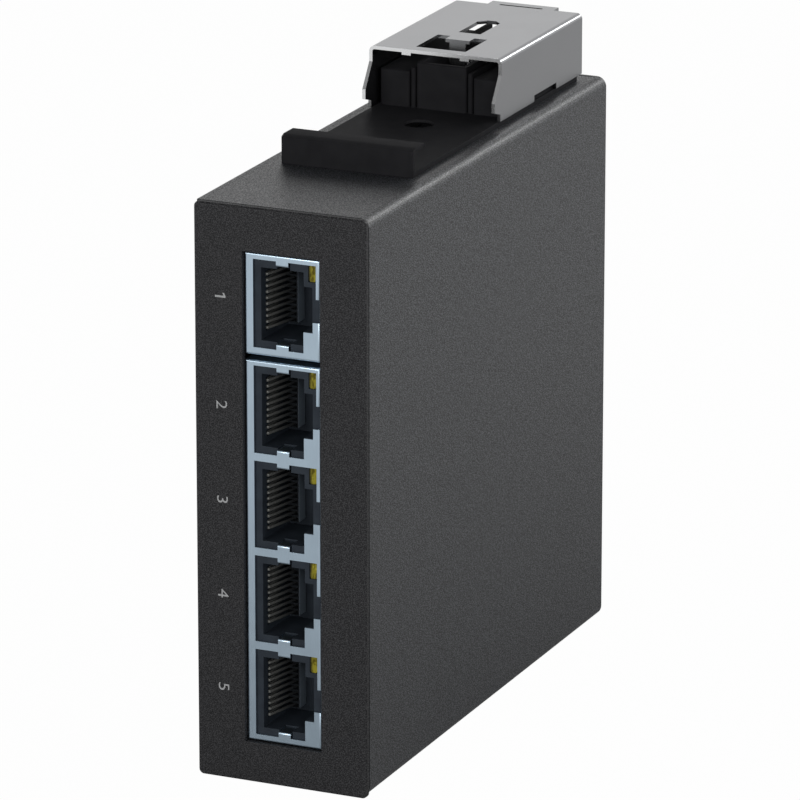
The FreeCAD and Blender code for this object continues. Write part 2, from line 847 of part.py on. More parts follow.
def sockets():
    first = "first_port"
    gang = port_heights()
    jack_shield("single_jack_shield", "single_low", "jack_height", [first])
    jack_housing("single_jack_housing", "single_low", "jack_height", [first])
    keep("single_jack_contacts", contact_row("single_contacts", first))
    keep("single_jack_comb", contact_comb("single_comb", first))
    keep("single_jack_light", port_light("single_light", first))
    jack_shield("ganged_jack_shield", "gang_low", "gang_height", gang)
    jack_housing("ganged_jack_housing", "gang_low", "gang_height", gang)
    keep("ganged_jack_contacts", group("gang_contacts",
         [contact_row("gang_contact_row", middle) for middle in gang]))
    keep("ganged_jack_combs", group("gang_combs",
         [contact_comb("gang_comb", middle) for middle in gang]))
    keep("ganged_jack_lights", group("gang_lights",
         [port_light("gang_light", middle) for middle in gang]))


# Circuit board and what it carries

board_holes = [
    ("board_far - board_hole_rear", "board_low + board_hole_inset"),
    ("board_far - board_hole_rear", "board_high - board_hole_inset"),
]


def circuit_board():
    body = new_body("board_body")
    pad(body, "laminate", "X", "board_left", "board_sheet",
        rectangle("board_near", "board_low", "board_far - (board_near)",
                  "board_high - (board_low)"))
    pocket(body, "holes", "X", "board_left - sheet", "board_sheet + 2 * sheet",
           *(hidden_hole(y, z, "screw_radius + screw_play") for y, z in board_holes))
    return keep("circuit_board", body)


def standoffs():
    """Six-sided spacers pressed into the side of the tray."""
    spacers = []
    for y, z in board_holes:
        outside = prism("spacer", "X", "board_right", y, z, "standoff_radius",
                        "inner_right - (board_right)")
        bore = hidden_rod("spacer_bore", "X", "board_right - sheet", y, z, "screw_radius",
                          "inner_right - (board_right)")
        spacers.append(cut("standoff", outside, bore))
    return keep("board_standoffs", group("standoff_set", spacers))


def board_screws():
    screws = []
    for y, z in board_holes:
        head = rod("screw_head", "X", "board_left - pan_head_height", y, z, "pan_head_radius",
                   "pan_head_height")
        stem = hidden_rod("screw_shank", "X", "board_left - sheet", y, z,
                          "screw_radius - screw_play", "inner_right - (board_left) - sheet / 2")
        recess = cross_slot("screw_recess", "X", "board_left - pan_head_height - seam", y, z,
                            "0.6 * pan_head_radius", "seam * 2", "pan_head_height * 0.6")
        screws.append(cut("board_screw", fuse("screw_blank", head, stem), *recess))
    return keep("board_screws", group("board_screw_set", screws))


def on_board(name, y, z, length, width, height):
    """A block soldered to the board's component side."""
    return box(name, f"board_left - ({height})", y, z, height, length, width)


def board_parts():
    keep("switch_chip", on_board("chip_block", "chip_near", "middle_height - chip_side / 2",
                                 "chip_side", "chip_side", "chip_height"))

    modules = []
    for middle in ["first_port"] + port_heights():
        modules.append(on_board("module", "modules_near",
                                f"{middle} - module_length / 2", "module_width",
                                "module_length", "module_height"))
    keep("transformer_modules", group("module_set", modules))

    keep("clock_crystal",
         on_board("crystal_block", "chip_near + (chip_side - crystal_width) / 2",
                  "middle_height + chip_side / 2 + module_gap", "crystal_width",
                  "crystal_length", "crystal_height"))

    cans = []
    for index in range(2):
        low = f"power_height - header_width / 2 - can_radius - {index} * can_pitch - module_gap"
        cans.append(rod("can", "X", "board_left - can_height", "board_far - 4 * can_radius",
                        low, "can_radius", "can_height"))
    keep("capacitors", group("can_set", cans))

    keep("choke_coil", on_board("choke_block", "choke_near", "power_height - choke_side / 2",
                                "choke_side", "choke_side", "choke_height"))
    keep("voltage_regulator",
         on_board("regulator_block", "choke_near", "power_height + choke_side",
                  "regulator_side", "regulator_side", "regulator_height"))


# Power terminal, its light and the earth screw

def pole_heights():
    count = int(SIZES["pole_count"])
    return [f"pole_low + {index} * pole_pitch" for index in range(count)]


def power_terminal():
    header = new_body("header_body")
    pad(header, "block", "Y", "header_front", "header_length",
        rectangle("header_left", "header_low", "header_height", "header_width"))
    pocket(header, "socket", "Y", "header_floor", "header_length",
           rectangle("header_left + header_wall", "header_low + header_end",
                     "header_height - 2 * header_wall", "header_width - 2 * header_end"))
    keep("power_header", header)

    pins = [box("pin", "pole_middle - pin_side / 2", "header_floor", f"{z} - pin_side / 2",
                "pin_side", "clamp_front - (header_floor) - seam", "pin_side")
            for z in pole_heights()]
    keep("power_pins", group("pin_set", pins))

    plug = new_body("plug_body")
    pad(plug, "block", "Y", "plug_front", "plug_rear - (plug_front)",
        rectangle("plug_left", "plug_low", "plug_right - (plug_left)", "plug_width"))

    def grip_edge(middle, along, length):
        return near(middle.y, "plug_rear") and along == "Z"

    soften(plug, "Chamfer", "grip", "plug_floor", grip_edge)
    pocket(plug, "wire_entries", "Y", "clamp_front + clamp_length", "plug_proud",
           *(rectangle("pole_middle - wire_hole / 2", f"{z} - wire_hole / 2", "wire_hole",
                       "wire_hole") for z in pole_heights()))
    pocket(plug, "clamp_rooms", "Y", "clamp_front - seam", "clamp_length + 2 * seam",
           *(rectangle("pole_middle - clamp_side / 2 - plug_play",
                       f"{z} - clamp_side / 2 - plug_play",
                       "clamp_side + 2 * plug_play", "clamp_side + 2 * plug_play")
             for z in pole_heights()))
    pocket(plug, "pin_ways", "Y", "plug_front - seam", "clamp_front - (plug_front) + seam",
           *(rectangle("pole_middle - pin_side / 2 - plug_play",
                       f"{z} - pin_side / 2 - plug_play", "pin_side + 2 * plug_play",
                       "pin_side + 2 * plug_play") for z in pole_heights()))
    pocket(plug, "screw_ways", "X", "plug_left - seam", "pole_middle - (plug_left) + seam",
           *(("clamp_front + clamp_length / 2", z, "clamp_screw_radius + plug_play")
             for z in pole_heights()))
    keep("power_plug", plug)

    clamps = []
    for z in pole_heights():
        cage = box("cage", "pole_middle - clamp_side / 2", "clamp_front", f"{z} - clamp_side / 2",
                   "clamp_side", "clamp_length", "clamp_side")
        room = box("cage_room", "pole_middle - clamp_side / 2 + clamp_sheet",
                   "clamp_front - seam", f"{z} - clamp_side / 2 + clamp_sheet",
                   "clamp_side - 2 * clamp_sheet", "clamp_length + 2 * seam",
                   "clamp_side - 2 * clamp_sheet")
        clamps.append(cut("clamp", cage, room))
    keep("plug_clamps", group("clamp_set", clamps))

    screws = []
    for z in pole_heights():
        way = "pole_middle - clamp_side / 2 - (plug_left)"
        head = rod("clamp_head", "X", "plug_left + seam", "clamp_front + clamp_length / 2", z,
                   "clamp_screw_radius", f"{way} - seam")
        slot = box("clamp_slot", "plug_left", "clamp_front + clamp_length / 2 - seam",
                   f"{z} - 2 * clamp_screw_radius", "3 * seam", "2 * seam",
                   "4 * clamp_screw_radius")
        screws.append(cut("clamp_screw", head, slot))
    keep("plug_screws", group("clamp_screw_set", screws))


def rear_fittings():
    pipe = rod("pipe", "Y", "light_pipe_x", "inner_rear - header_proud", "light_pipe_height",
               "light_pipe_radius - shield_play", "sheet + header_proud + light_pipe_proud")
    stem = box("pipe_stem", "light_pipe_x - light_pipe_radius / 2",
               "board_far - 2 * light_pipe_radius", "light_pipe_height - light_pipe_radius",
               "board_left - (light_pipe_x) + light_pipe_radius / 2",
               "inner_rear - (board_far) + 2 * light_pipe_radius - seam",
                   "2 * light_pipe_radius")
    keep("power_light", fuse("light_pipe", pipe, stem))

    head = rod("earth_head", "Y", "pole_middle", "rear", "earth_height",
               "earth_head_radius", "earth_head_height")
    stem = hidden_rod("earth_shank", "Y", "pole_middle", "rear - earth_screw_length",
                      "earth_height", "earth_screw_radius - shield_play",
                      "earth_screw_length + earth_head_height / 4")
    recess = cross_slot("earth_recess", "Y", "pole_middle",
                        "rear + earth_head_height * 0.4", "earth_height",
                        "0.55 * earth_head_radius", "seam * 3", "earth_head_height")
    keep("earth_screw", cut("earth", fuse("earth_blank", head, stem), *recess))


# Rail clip

def clip_base():
    """One moulding: plate, fixed hook, and the block that guides the sprung cover."""
    body = new_body("clip_body")
    pad(body, "plate", "Z", "clip_base", "clip_plate",
        rectangle("clip_left", "clip_near", "clip_width", "clip_far - (clip_near)"))
    hook_top = "clip_base + hook_height"
    hook = [
        ("clip_near", "clip_base"),
        ("clip_near", f"{hook_top} - hook_drop"),
        ("clip_near + hook_slope", hook_top),
        ("clip_near + hook_reach", hook_top),
        ("clip_near + hook_reach", f"{hook_top} - hook_sheet"),
        ("clip_near + hook_wall", f"{hook_top} - hook_sheet"),
        ("clip_near + hook_wall", "clip_base"),
    ]
    pad(body, "hook", "X", "clip_left", "clip_width", hook)

    def hook_corner(middle, along, length):
        upright = near(middle.y, "clip_near") and along == "Z"
        return upright and length > number("hook_sheet")

    soften(body, "Fillet", "hook_corners", "hook_corner", hook_corner)
    pad(body, "guide_block", "Y", "block_near", "block_far - (block_near)", block_outline())
    soften(body, "Chamfer", "block_edges", "rib_gap", block_front_edge)
    pocket(body, "trough", "Y", "block_near + trough_front",
           "stop_near - (block_near) - trough_front",
           rectangle("clip_offset - trough_half", "clip_base + trough_floor", "2 * trough_half",
                     "ridge_top"))
    pocket(body, "grooves", "Y", "block_near + trough_front",
           "stop_near - (block_near) - trough_front",
           rectangle("clip_offset - trough_half - groove_depth", "clip_base + groove_low",
                     "2 * (trough_half + groove_depth)", "groove_height"))
    pocket(body, "screw_room", "Y", "stop_near + stop_wall", "block_far - (stop_near)",
           rectangle("clip_offset - trough_half", "plate_top", "2 * trough_half", "ridge_top"))
    pocket(body, "head_seats", "Z", "plate_top - sink_depth", "ridge_top",
           ("clip_offset", "front + plate_screw", "sink_radius"),
           ("clip_offset", "front + trough_screw", "sink_radius"))
    pocket(body, "screw_holes", "Z", "clip_base - sheet", "2 * sheet",
           hidden_hole("clip_offset", "front + plate_screw", "screw_radius + screw_play"),
           hidden_hole("clip_offset", "front + trough_screw", "screw_radius + screw_play"))
    return keep("clip_base", body)


def block_outline():
    """The guide block seen from the front: side blocks, thin ribs and a tall ridge."""
    steps = [
        ("block_outer", "side_block_top"),
        ("block_inner", "side_block_top"),
        ("block_inner", "clip_plate"),
        ("rib_outer", "clip_plate"),
        ("rib_outer", "rib_top"),
        ("rib_inner", "rib_top"),
        ("rib_inner", "clip_plate"),
        ("ridge_half", "clip_plate"),
        ("ridge_half", "ridge_top"),
    ]
    right_side = [(f"clip_offset + {x}", f"clip_base + {z}") for x, z in steps]
    left_side = [(f"clip_offset - ({x})", f"clip_base + {z}") for x, z in reversed(steps)]
    foot = "clip_base + clip_plate / 2"
    return [("clip_offset + block_outer", foot)] + right_side + left_side + [
        ("clip_offset - (block_outer)", foot)]


def block_front_edge(middle, along, length):
    in_front = near(middle.y, "block_near") and along in "XZ"
    high = middle.z > number("plate_top") + number("rib_gap")
    return in_front and high and length > number("rib_width") * 1.2


def clip_screws():
    screws = []
    for y in ("front + plate_screw", "front + trough_screw"):
        seat = "plate_top - sink_depth"
        head = rod("clip_head", "Z", "clip_offset", y, seat, "clip_head_radius",
                   "clip_head_height")
        stem = hidden_rod("clip_shank", "Z", "clip_offset", y, f"{seat} - clip_screw_length",
                          "screw_radius - screw_play",
                          "clip_screw_length + clip_head_height / 2")
        recess = cross_slot("clip_recess", "Z", "clip_offset", y,
                            f"{seat} + clip_head_height * 0.35",
                            "0.6 * clip_head_radius", "seam * 2.4", "clip_head_height")
        screws.append(cut("clip_screw", fuse("clip_blank", head, stem), *recess))
    return keep("clip_screws", group("clip_screw_set", screws))


def clip_nuts():
    """Six-sided nuts pressed under the top of the tray."""
    nuts = []
    for y in ("front + plate_screw", "front + trough_screw"):
        blank = prism("nut_blank", "Z", "clip_offset", y, "inner_top - nut_height",
                      "nut_radius", "nut_height")
        bore = hidden_rod("nut_bore", "Z", "clip_offset", y, "inner_top - nut_height - seam",
                          "screw_radius", "nut_height + 2 * seam")
        nuts.append(cut("clip_nut", blank, bore))
    return keep("clip_nuts", group("clip_nut_set", nuts))


def latch_cover():
    """The bent steel cover whose noses snap behind the rail."""
    body = new_body("latch_body")
    nose_front = "cover_near - nose_reach"
    left_face = "clip_offset - cover_half"
    foot = "clip_base + cover_foot"
    inside_width = "cover_width - 2 * cover_sheet"
    pad(body, "blank", "Y", nose_front, "cover_far - (cover_near) + nose_reach",
        rectangle(left_face, foot, "cover_width", "cover_roof - (clip_base) - cover_foot"))

    def outer_bend(middle, along, length):
        return along == "Y" and near(middle.z, "cover_roof")

    soften(body, "Fillet", "outer_bends", "cover_bend", outer_bend)
    pocket(body, "inside", "Y", f"{nose_front} - sheet", "housing_depth",
           rectangle(f"{left_face} + cover_sheet", f"{foot} - sheet", inside_width,
                     f"cover_ceiling - ({foot}) + sheet"))

    def inner_bend(middle, along, length):
        return along == "Y" and near(middle.z, "cover_ceiling")

    soften(body, "Fillet", "inner_bends", "cover_bend - cover_sheet", inner_bend)
    ahead = f"{nose_front} - sheet"
    pocket(body, "nose_profile", "X", f"{left_face} - sheet", "cover_width + 2 * sheet", [
        (ahead, "cover_roof + sheet"),
        ("cover_near", "cover_roof + sheet"),
        ("cover_near", "clip_base + nose_shoulder"),
        (nose_front, "clip_base + nose_knee"),
        (nose_front, "clip_base + nose_tip"),
        ("cover_near - notch_back", "clip_base + notch_top"),
        ("cover_near - notch_back", f"{foot} - sheet"),
        (ahead, f"{foot} - sheet"),
    ])
    pocket(body, "side_notches", "X", f"{left_face} - sheet", "cover_width + 2 * sheet",
           rectangle("front + side_notch_front", f"{foot} - sheet",
                     "side_notch_rear - side_notch_front",
                     "side_notch_top - cover_foot + sheet"))
    through = ("cover_ceiling - sheet / 4", "2 * sheet")
    tab_left = "clip_offset - tab_width / 2"
    tab_right = "clip_offset + tab_width / 2"
    window_left = "clip_offset - window_width / 2"
    window_right = "clip_offset + window_width / 2"
    pocket(body, "spring_window", "Z", *through, [
        (window_left, "front + window_front"),
        (window_right, "front + window_front"),
        (window_right, "front + window_rear"),
        (tab_right, "front + window_rear"),
        (tab_right, "tongue_near"),
        (tab_left, "tongue_near"),
        (tab_left, "front + window_rear"),
        (window_left, "front + window_rear"),
    ])
    slot_left = "clip_offset - slot_width / 2"
    slot_right = "clip_offset + slot_width / 2"
    pocket(body, "screwdriver_slot", "Z", *through, [
        (slot_left, "front + slot_front"),
        (slot_right, "front + slot_front"),
        (slot_right, "front + slot_rear - slot_corner"),
        (f"{slot_right} - slot_corner", "front + slot_rear"),
        (f"{slot_left} + slot_corner", "front + slot_rear"),
        (slot_left, "front + slot_rear - slot_corner"),
    ])
    pull_left = "clip_offset + pull_offset - pull_width / 2"
    pad(body, "pull_tab", "Z", "cover_ceiling", "cover_sheet",
        rectangle(pull_left, "cover_far - cover_sheet", "pull_width", "pull_reach + cover_sheet"))
    pocket(body, "pull_slot", "Z", *through,
           rectangle("clip_offset + pull_offset - pull_slot_width / 2", "cover_far - sheet / 10",
                     "pull_slot_width", "pull_slot_length"))
    pad(body, "tongue", "Y", "tongue_near", "cover_sheet",
        rectangle("clip_offset - tongue_neck / 2", "clip_base + tongue_foot", "tongue_neck",
                  "cover_roof - (clip_base) - tongue_foot"))

    def tongue_inside(middle, along, length):
        return along == "X" and near(middle.y, "tongue_far") and near(middle.z, "cover_ceiling")

    soften(body, "Fillet", "tongue_inner_bend", "cover_bend - cover_sheet", tongue_inside)
    ear_half = "trough_half + groove_depth - shield_play * 4"
    pad(body, "ears", "Y", "tongue_near", "cover_sheet",
        rectangle(f"clip_offset - ({ear_half})", "clip_base + tongue_foot", f"2 * ({ear_half})",
                  "tongue_ear"))
    for name, side in (("left_front_lug", "-"), ("right_front_lug", "+")):
        start = f"clip_offset {side} front_lug_pitch / 2 - front_lug_width / 2"
        pad(body, name, "Y", "cover_near", "cover_sheet",
            rectangle(start, "cover_ceiling - front_lug_drop", "front_lug_width",
                      "front_lug_drop + cover_sheet / 2"))
    return keep("latch_cover", body)


def latch_spring():
    """The coil of square wire that pushes the cover towards the rail."""
    helix = doc.addObject("Part::Helix", "spring_path")
    bind(helix, Pitch="(spring_far - (spring_near) - spring_wire) / spring_turns",
         Height="spring_far - (spring_near) - spring_wire", Radius="spring_radius")
    wire = doc.addObject("Part::Plane", "spring_section")
    bind(wire, Length="spring_wire", Width="spring_wire")
    wire.Placement.Rotation = FreeCAD.Rotation(FreeCAD.Vector(1, 0, 0), 90)
    place(wire, "spring_radius - spring_wire / 2", "0", "-spring_wire / 2")
    coil = doc.addObject("Part::Sweep", "spring_coil")
    coil.Sections = [wire]
    coil.Spine = (helix, ["Edge1"])
    coil.Solid = True
    coil.Frenet = True
    coil.Placement.Rotation = TURNS["Y"]
    place(coil, "clip_offset", "spring_near + spring_wire / 2", "clip_base + spring_level")
    return keep("latch_spring", coil)


main_shell()
front_panel()
left_cover()
cover_screws()
sockets()
circuit_board()
standoffs()
board_screws()
board_parts()
power_terminal()
rear_fittings()
clip_base()
clip_screws()
clip_nuts()
latch_cover()
latch_spring()
doc.recompute()

for item in doc.Objects:
    if "Invalid" in item.State or "Error" in item.State:
        raise RuntimeError(f"{item.Name} failed: {item.State}")

os.makedirs("parts", exist_ok=True)
for node in nodes:
    shape = node.Shape
    if shape.isNull() or not shape.isValid() or not shape.Solids:
        raise RuntimeError(f"{node.Label} has no sound shape")
    shape.exportStep(f"parts/{node.Label}.step")
    span = shape.BoundBox
    print(f"{node.Label}: {len(shape.Solids)} solids, {shape.Volume:.1f} mm3, "
          f"x {span.XMin:.2f}..{span.XMax:.2f}, y {span.YMin:.2f}..{span.YMax:.2f}, "
          f"z {span.ZMin:.2f}..{span.ZMax:.2f}")
print(len(nodes), "pieces")
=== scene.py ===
# %% [markdown]
# A small network switch for a 35 mm rail: a slim case of folded, powder-coated sheet steel,
# five shielded sockets in a column, and on the top a black clip with a sprung steel cover.
# The CAD model gives every form and place, so this script starts by loading it as a fixed
# frame. What is left to do here is what a camera notices: finishes, soft edges, round wire,
# printed figures and light.

# %% Load the frame
import json
import math

import bmesh
import bpy
from mathutils import Matrix, Vector

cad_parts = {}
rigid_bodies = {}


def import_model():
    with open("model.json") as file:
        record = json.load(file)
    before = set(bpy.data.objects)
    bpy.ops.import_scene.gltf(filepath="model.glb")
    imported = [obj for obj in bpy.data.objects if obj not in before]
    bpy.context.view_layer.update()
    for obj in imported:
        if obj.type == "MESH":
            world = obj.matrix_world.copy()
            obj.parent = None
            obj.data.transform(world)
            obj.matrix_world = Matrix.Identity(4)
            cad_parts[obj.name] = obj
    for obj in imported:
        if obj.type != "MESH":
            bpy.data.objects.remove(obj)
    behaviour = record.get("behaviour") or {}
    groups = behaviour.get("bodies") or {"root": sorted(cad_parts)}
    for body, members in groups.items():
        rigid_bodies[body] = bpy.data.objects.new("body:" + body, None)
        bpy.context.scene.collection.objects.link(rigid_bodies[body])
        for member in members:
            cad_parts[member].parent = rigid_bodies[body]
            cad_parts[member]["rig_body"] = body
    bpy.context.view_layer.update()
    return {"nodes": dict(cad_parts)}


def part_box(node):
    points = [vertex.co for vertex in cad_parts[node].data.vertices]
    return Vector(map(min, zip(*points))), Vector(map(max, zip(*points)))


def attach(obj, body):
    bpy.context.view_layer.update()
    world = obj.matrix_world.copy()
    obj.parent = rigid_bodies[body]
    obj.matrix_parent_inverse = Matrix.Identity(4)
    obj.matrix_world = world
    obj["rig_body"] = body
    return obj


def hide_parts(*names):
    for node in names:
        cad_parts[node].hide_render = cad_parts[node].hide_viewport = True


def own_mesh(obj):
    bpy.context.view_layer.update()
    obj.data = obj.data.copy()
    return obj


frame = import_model()
scene = bpy.context.scene
scene.view_settings.view_transform = "Standard"
mm = 0.001
panel_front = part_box("front_panel")[0].y
comb_low, comb_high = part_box("single_jack_comb")
nose_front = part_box("latch_cover")[0].y
light_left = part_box("single_jack_light")[0].x

# %% [markdown]
# The photograph was taken from far away with a long lens, a little above the object and to
# its right, so upright edges stay almost parallel. The lens and the place were worked out
# from the corners of the case and the spacing of the sockets. Depth of field stays off.

# %% Camera
camera_lens = 294.88
camera_sensor = 36.0
camera_place = Vector((0.435766, -0.984585, 0.385962))
camera_aim = Vector((-0.387683, 0.873203, -0.295326))

camera_data = bpy.data.cameras.new("photo_camera")
camera_data.lens = camera_lens
camera_data.sensor_width = camera_sensor
camera = bpy.data.objects.new("photo_camera", camera_data)
camera.location = camera_place
camera.rotation_euler = camera_aim.to_track_quat("-Z", "Y").to_euler()
scene.collection.objects.link(camera)
scene.camera = camera
print("camera:", round(camera_place.length, 3), "m from the origin")

# %% [markdown]
# Shader maths is easier to read as arithmetic than as a list of links. Value wraps a socket,
# so that `1 - grain * 0.3` adds the Math nodes by itself. Paint holds one material and has
# one method for every other node. Numbers that don't vary are set on the shader's own
# sockets.

# %% Helpers for shader maths
class Value:
    """A socket whose number varies over a surface."""

    def __init__(self, paint, socket):
        self.paint = paint
        self.socket = socket

    def maths(self, operation, first, second):
        return self.paint.node("ShaderNodeMath", {"operation": operation}, {0: first, 1: second})

    def __add__(self, other):
        return self.maths("ADD", self, other)

    def __radd__(self, other):
        return self.maths("ADD", other, self)

    def __sub__(self, other):
        return self.maths("SUBTRACT", self, other)

    def __rsub__(self, other):
        return self.maths("SUBTRACT", other, self)

    def __mul__(self, other):
        return self.maths("MULTIPLY", self, other)

    def __rmul__(self, other):
        return self.maths("MULTIPLY", other, self)

    def between(self, low, high):
        """0 below low, 1 above high, and smooth from one to the other."""
        return self.paint.node("ShaderNodeMapRange", {"interpolation_type": "SMOOTHSTEP"},
                               {"Value": self, "From Min": low, "From Max": high})


class Paint:
    """One material on the Principled shader."""

    def __init__(self, name, **constants):
        self.material = bpy.data.materials.new(name)
        self.material.use_nodes = True
        self.tree = self.material.node_tree
        self.shader = self.tree.nodes["Principled BSDF"]
        for socket, value in constants.items():
            self.shader.inputs[socket.replace("_", " ")].default_value = value
        self.place = self.node("ShaderNodeTexCoord", output="Object")

    def node(self, kind, settings=None, inputs=None, output=0):
        made = self.tree.nodes.new(kind)
        for name, setting in (settings or {}).items():
            setattr(made, name, setting)
        for key, value in (inputs or {}).items():
            self.feed(made.inputs[key], value)
        return Value(self, made.outputs[output])

    def feed(self, socket, value):
        if isinstance(value, Value):
            self.tree.links.new(value.socket, socket)
        else:
            socket.default_value = value

    def noise(self, size, detail=2.0, rough=0.5, stretch=(1.0, 1.0, 1.0)):
        """Noise whose grains are about one size across, in metres."""
        place = self.node("ShaderNodeMapping", None, {"Vector": self.place, "Scale": stretch})
        return self.node("ShaderNodeTexNoise", None, {
            "Vector": place, "Scale": 1 / size, "Detail": detail, "Roughness": rough})

    def along(self, axis):
        """The place on the object along one axis, in metres."""
        return self.node("ShaderNodeSeparateXYZ", None, {0: self.place}, output=axis)

    def mix(self, mask, first, second):
        return self.node("ShaderNodeMix", {"data_type": "RGBA"},
                         {0: mask, 6: first, 7: second}, output=2)

    def set(self, socket, value):
        self.feed(self.shader.inputs[socket], value)

    def bump(self, height, distance, strength=1.0):
        self.set("Normal", self.node("ShaderNodeBump", None, {
            "Height": height, "Distance": distance, "Strength": strength}))


def colour(text):
    """A colour written as on a screen, such as 353537, as the linear values that nodes use."""
    levels = [int(text[start:start + 2], 16) / 255 for start in (0, 2, 4)]
    linear = [level / 12.92 if level <= 0.04045 else ((level + 0.055) / 1.055) ** 2.4
              for level in levels]
    return (*linear, 1.0)


materials = {}
print("a mid grey is", [round(level, 3) for level in colour("808080")])

# %% [markdown]
# The case is steel with a fine powder coat: charcoal, almost matt, with a grain finer than a
# fifth of a millimetre that catches the light as tiny specks. Two noises make it. The finer
# one is the grain, in colour, gloss and height, and the broader one is the slight ripple that
# baked powder keeps. The grain is drawn out along the depth of the case, because top and side
# are seen at a slant and a round grain would vanish there. On the tray the same grain also
# scatters glints in the clear layer over the colour. The panel has a plainer coat.

# %% Powder coat
coat_grain = 0.17 * mm
coat_ripple = 1.6 * mm
coat_relief = 0.05 * mm


def powder_coat(name, dark, light, rough, specular, glints=0.0):
    paint = Paint(name, Specular_IOR_Level=specular, Coat_Roughness=rough)
    grain = paint.noise(coat_grain, detail=1.0, stretch=(1.0, 0.5, 1.0))
    ripple = paint.noise(coat_ripple, detail=2.0)
    speck = grain.between(0.38, 0.72)
    paint.set("Base Color", paint.mix(speck, colour(dark), colour(light)))
    paint.set("Roughness", rough - 0.14 * speck)
    if glints:
        paint.set("Coat Weight", glints * (0.35 + 1.3 * grain.between(0.42, 0.62)))
    paint.bump(grain + 0.8 * ripple, coat_relief, 0.55)
    materials[name] = paint.material


powder_coat("tray_powder_coat", "0a0b0d", "3f4247", 0.52, 0.45, glints=0.38)
powder_coat("panel_powder_coat", "161618", "464648", 0.62, 0.25)
print("coats:", sorted(materials))

# %% [markdown]
# Plain metals differ by tint, by roughness and by the marks that making them leaves. Rolled
# sheet has long fine lines, and a zinc screw is slightly cloudy. One function covers them:
# stretched noise for the lines and round noise for the cloud. The edge where the rail cover
# was cut is brighter than its skin, partly as bare metal and partly as a painted highlight, so
# the faces at its nose that look forward, as their normal tells, get a near-white colour of
# their own. The plated wires in the sockets are painted pale at the bend in front and darker
# towards the comb, as painted shade where less light gets there.

# %% Metals
cut_highlight_depth = 3.3 * mm
cut_highlight_blur = 0.1 * mm


def metal(name, dark, light, rough, cloud, line=None, stretch=(1.0, 1.0, 1.0), depth=0.0,
          cut_highlight=None):
    paint = Paint(name, Metallic=1.0)
    haze = paint.noise(cloud, detail=3.0)
    tone = haze.between(0.3, 0.7)
    if line:
        streak = paint.noise(line, detail=2.0, stretch=stretch)
        tone = 0.5 * tone + 0.5 * streak.between(0.3, 0.7)
        paint.bump(streak, depth)
    skin = paint.mix(tone, colour(dark), colour(light))
    # Painted highlight, partly bare cut metal: the forward faces at the cover's nose turn
    # near-white.
    if cut_highlight:
        facing = paint.node("ShaderNodeNewGeometry", output="Normal")
        forward = -1 * paint.node("ShaderNodeSeparateXYZ", None, {0: facing}, output="Y")
        reach = nose_front + cut_highlight_depth
        front = 1 - paint.along("Y").between(reach - cut_highlight_blur, reach + cut_highlight_blur)
        skin = paint.mix(front * forward.between(0.5, 0.9), skin, colour(cut_highlight))
    paint.set("Base Color", skin)
    paint.set("Roughness", rough + 0.05 * tone)
    materials[name] = paint.material


metal("shield_sheet", "bccfde", "c1d4e3", 0.28, 4.0 * mm, 0.12 * mm, (1.0, 1.0, 0.06),
      0.0001 * mm)
metal("rolled_cover_steel", "8b8c8e", "8f9092", 0.22, 8.0 * mm, 0.10 * mm, (1.0, 0.03, 1.0),
      0.0003 * mm, cut_highlight="f4f5f6")
metal("spring_wire_steel", "8f9092", "a9aaac", 0.30, 0.6 * mm)
metal("blackened_screw", "131314", "1e1e1f", 0.40, 0.6 * mm)
metal("zinc_screw", "a7a8a6", "bdbcb4", 0.32, 0.8 * mm, 0.3 * mm, depth=0.004 * mm)
metal("drawn_can", "a9acb0", "bfc2c5", 0.24, 1.5 * mm)
metal("tinned_pin", "b5b4ae", "c6c5c0", 0.25, 0.6 * mm)

# Painted shade: the wires darken from the bend in front towards the comb, where less light gets.
wire_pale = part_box("single_jack_contacts")[0].y - 0.75 * mm
wire_dark = comb_low.y + 0.6 * mm
wire = Paint("plated_contact_wire", Metallic=0.35)
tarnish = wire.noise(0.5 * mm, detail=3.0)
inward_shade = wire.along("Y").between(wire_pale, wire_dark)
shade = wire.mix(inward_shade, colour("80817e"), colour("303236"))
wire.set("Base Color", wire.mix(0.3 * tarnish.between(0.3, 0.7), shade, colour("4a4a46")))
wire.set("Roughness", 0.34 + 0.12 * tarnish)
materials["plated_contact_wire"] = wire.material
print("metals:", len(materials) - 2)

# %% [markdown]
# Moulded parts share a recipe too: a dye that is never quite even and a fine spark-eroded
# texture from the mould. The clip is nearly black, the socket inserts are a dark slate, and
# the parts on the board take their usual colours. The comb behind the wires is dark, with a
# paler side towards the latch channel: painted light, where light from the opening reaches it.

# %% Mouldings and board parts
lit_side_depth = 0.05 * mm
lit_side_blur = 0.03 * mm


def moulding(name, dark, light, rough, texture=0.20 * mm, depth=0.010 * mm, specular=0.5,
             side=None):
    paint = Paint(name, Specular_IOR_Level=specular)
    cloud = paint.noise(3.0 * mm, detail=3.0)
    pits = paint.noise(texture, detail=1.0)
    dye = paint.mix(cloud.between(0.3, 0.7), colour(dark), colour(light))
    # Painted light: the comb's side towards the latch channel gets a paler colour.
    if side:
        reach = comb_high.x - lit_side_depth
        skin = paint.along("X").between(reach - lit_side_blur, reach + lit_side_blur)
        dye = paint.mix(skin, dye, colour(side))
    paint.set("Base Color", dye)
    paint.set("Roughness", rough + 0.12 * pits)
    paint.bump(pits, depth, 0.6)
    materials[name] = paint.material


moulding("clip_moulding", "252527", "29292b", 0.46, depth=0.002 * mm, specular=0.02)
moulding("socket_moulding", "282e36", "30373f", 0.50, specular=0.20)
moulding("comb_moulding", "1b1d20", "23262a", 0.60, specular=0.05, side="66707a")
moulding("terminal_moulding", "2c6b45", "347a50", 0.42)
moulding("board_laminate", "1f4a2c", "27583a", 0.35)
moulding("chip_package", "1d1d1e", "27272a", 0.50)
moulding("choke_ferrite", "33302f", "423e3c", 0.62, texture=0.12 * mm)
print("mouldings:", [name for name in materials if "moulding" in name])
